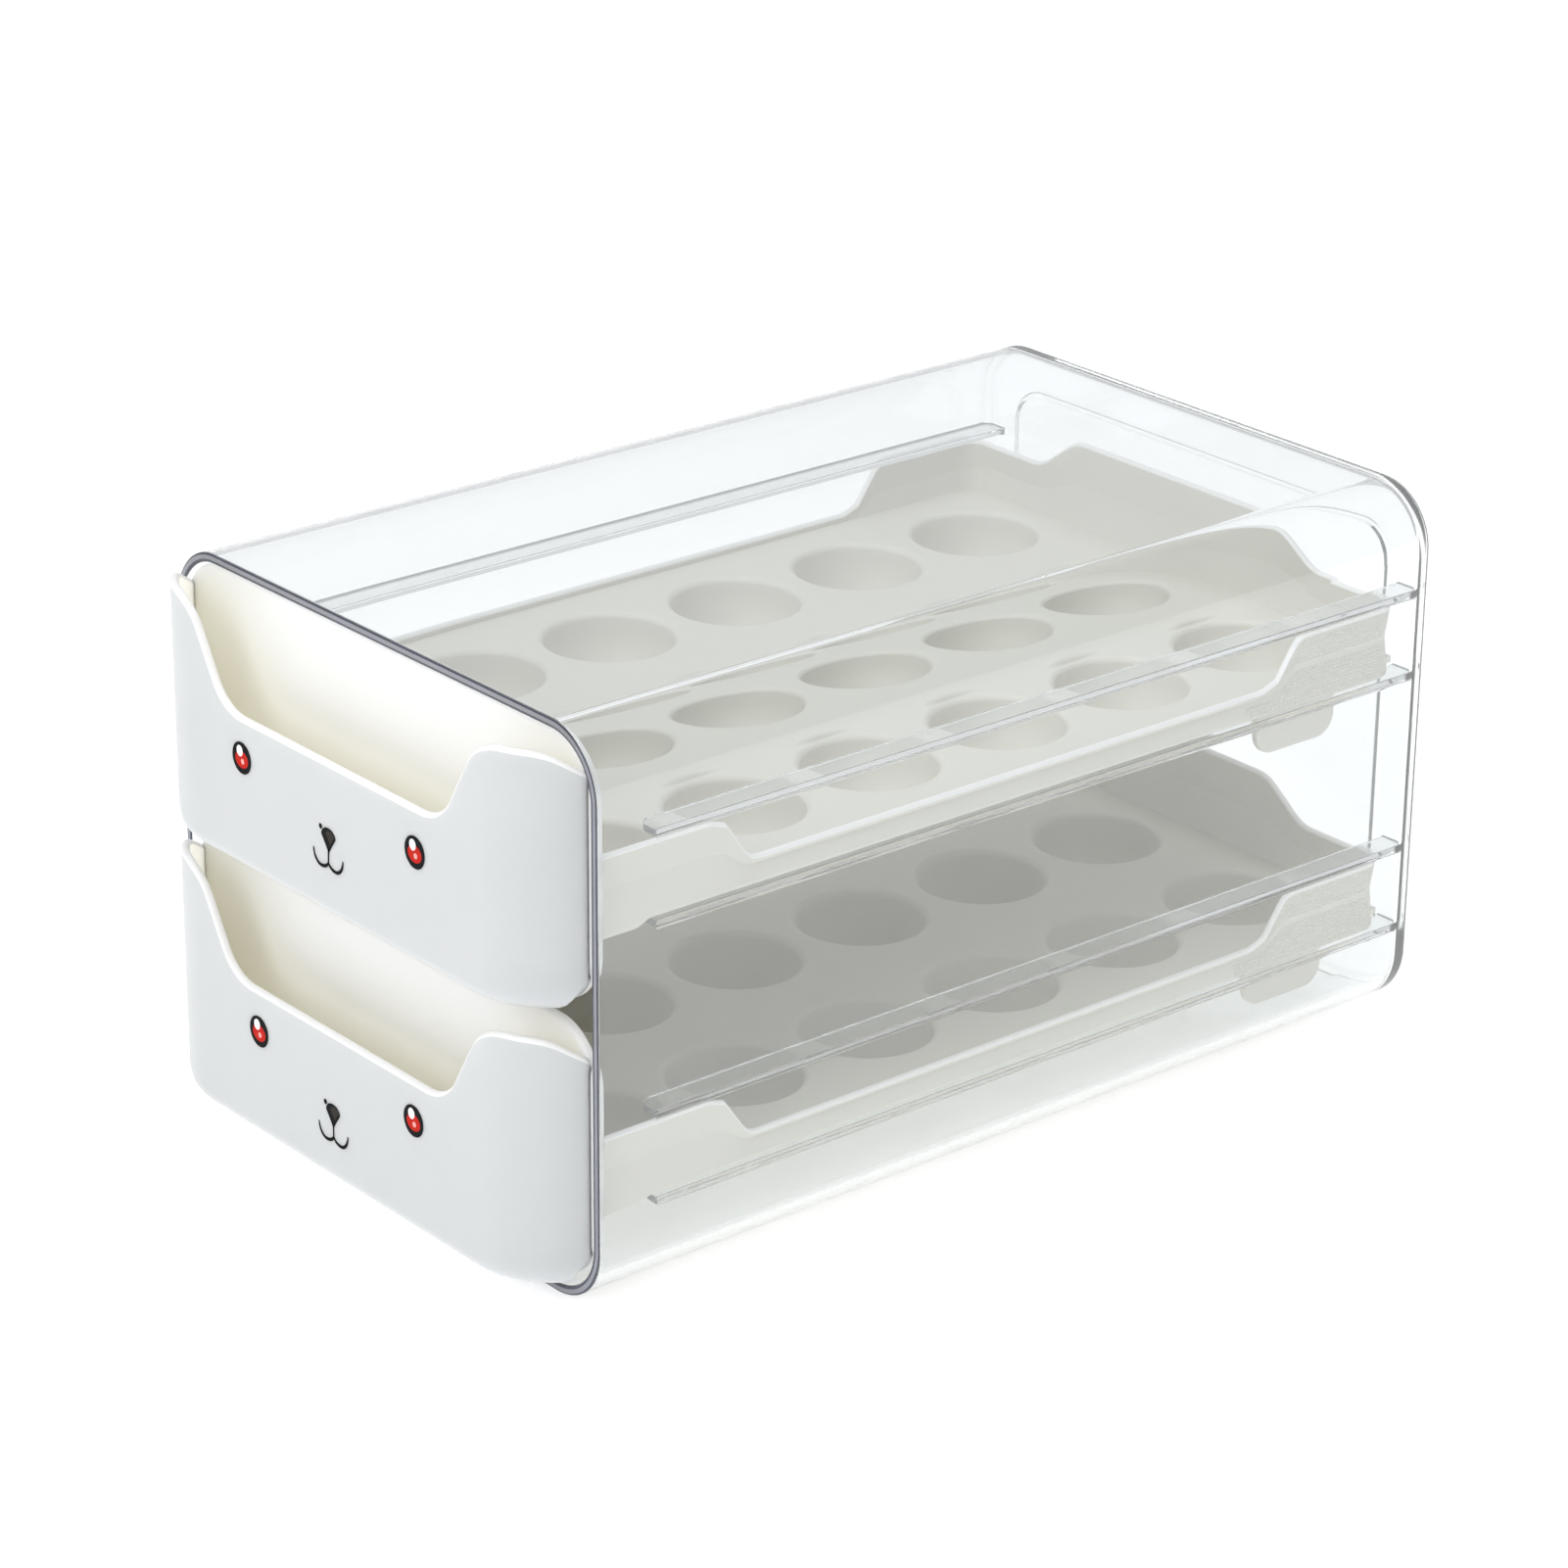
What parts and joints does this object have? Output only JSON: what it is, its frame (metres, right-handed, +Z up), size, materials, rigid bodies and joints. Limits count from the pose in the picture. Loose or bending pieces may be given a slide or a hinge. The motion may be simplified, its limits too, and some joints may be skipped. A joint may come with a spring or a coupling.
{
  "type": "egg storage drawer box",
  "caption": "Clear open-fronted case with white egg drawers, one above the other, that slide out on side ledges; each drawer has a scooped pull pocket and round egg cups.",
  "frame": {"origin": "on the surface it stands on, under the middle of the whole object's box with the drawers shut", "axes": "+Z up, -Y towards the drawer fronts, +X to the right seen from the front"},
  "size_m": [0.2, 0.3358, 0.172],
  "materials": {
    "clear_case": "clear polished plastic",
    "drawer_white": "smooth satin-gloss white plastic",
    "tray_white": "fine matte texture, warm white",
    "cup_white": "smooth matte white",
    "ink_black": "printed black ink",
    "ink_red": "printed red ink",
    "ink_white": "printed white ink"
  },
  "bodies": {
    "case": {"case_shell": "clear_case"},
    "lower_drawer": {"lower_drawer_front": "drawer_white", "lower_tray": "tray_white", "lower_egg_row_1": "cup_white", "lower_egg_row_2": "cup_white", "lower_egg_row_3": "cup_white", "lower_egg_row_4": "cup_white", "lower_egg_row_5": "cup_white", "lower_egg_row_6": "cup_white"},
    "upper_drawer": {"upper_drawer_front": "drawer_white", "upper_tray": "tray_white", "upper_egg_row_1": "cup_white", "upper_egg_row_2": "cup_white", "upper_egg_row_3": "cup_white", "upper_egg_row_4": "cup_white", "upper_egg_row_5": "cup_white", "upper_egg_row_6": "cup_white"}
  },
  "joints": [
    {"name": "lower_drawer_slide", "type": "slide", "parent": "case", "child": "lower_drawer", "axis": [0, -1, 0], "range_m": [0, 0.24]},
    {"name": "upper_drawer_slide", "type": "slide", "parent": "case", "child": "upper_drawer", "axis": [0, -1, 0], "range_m": [0, 0.24]}
  ]
}
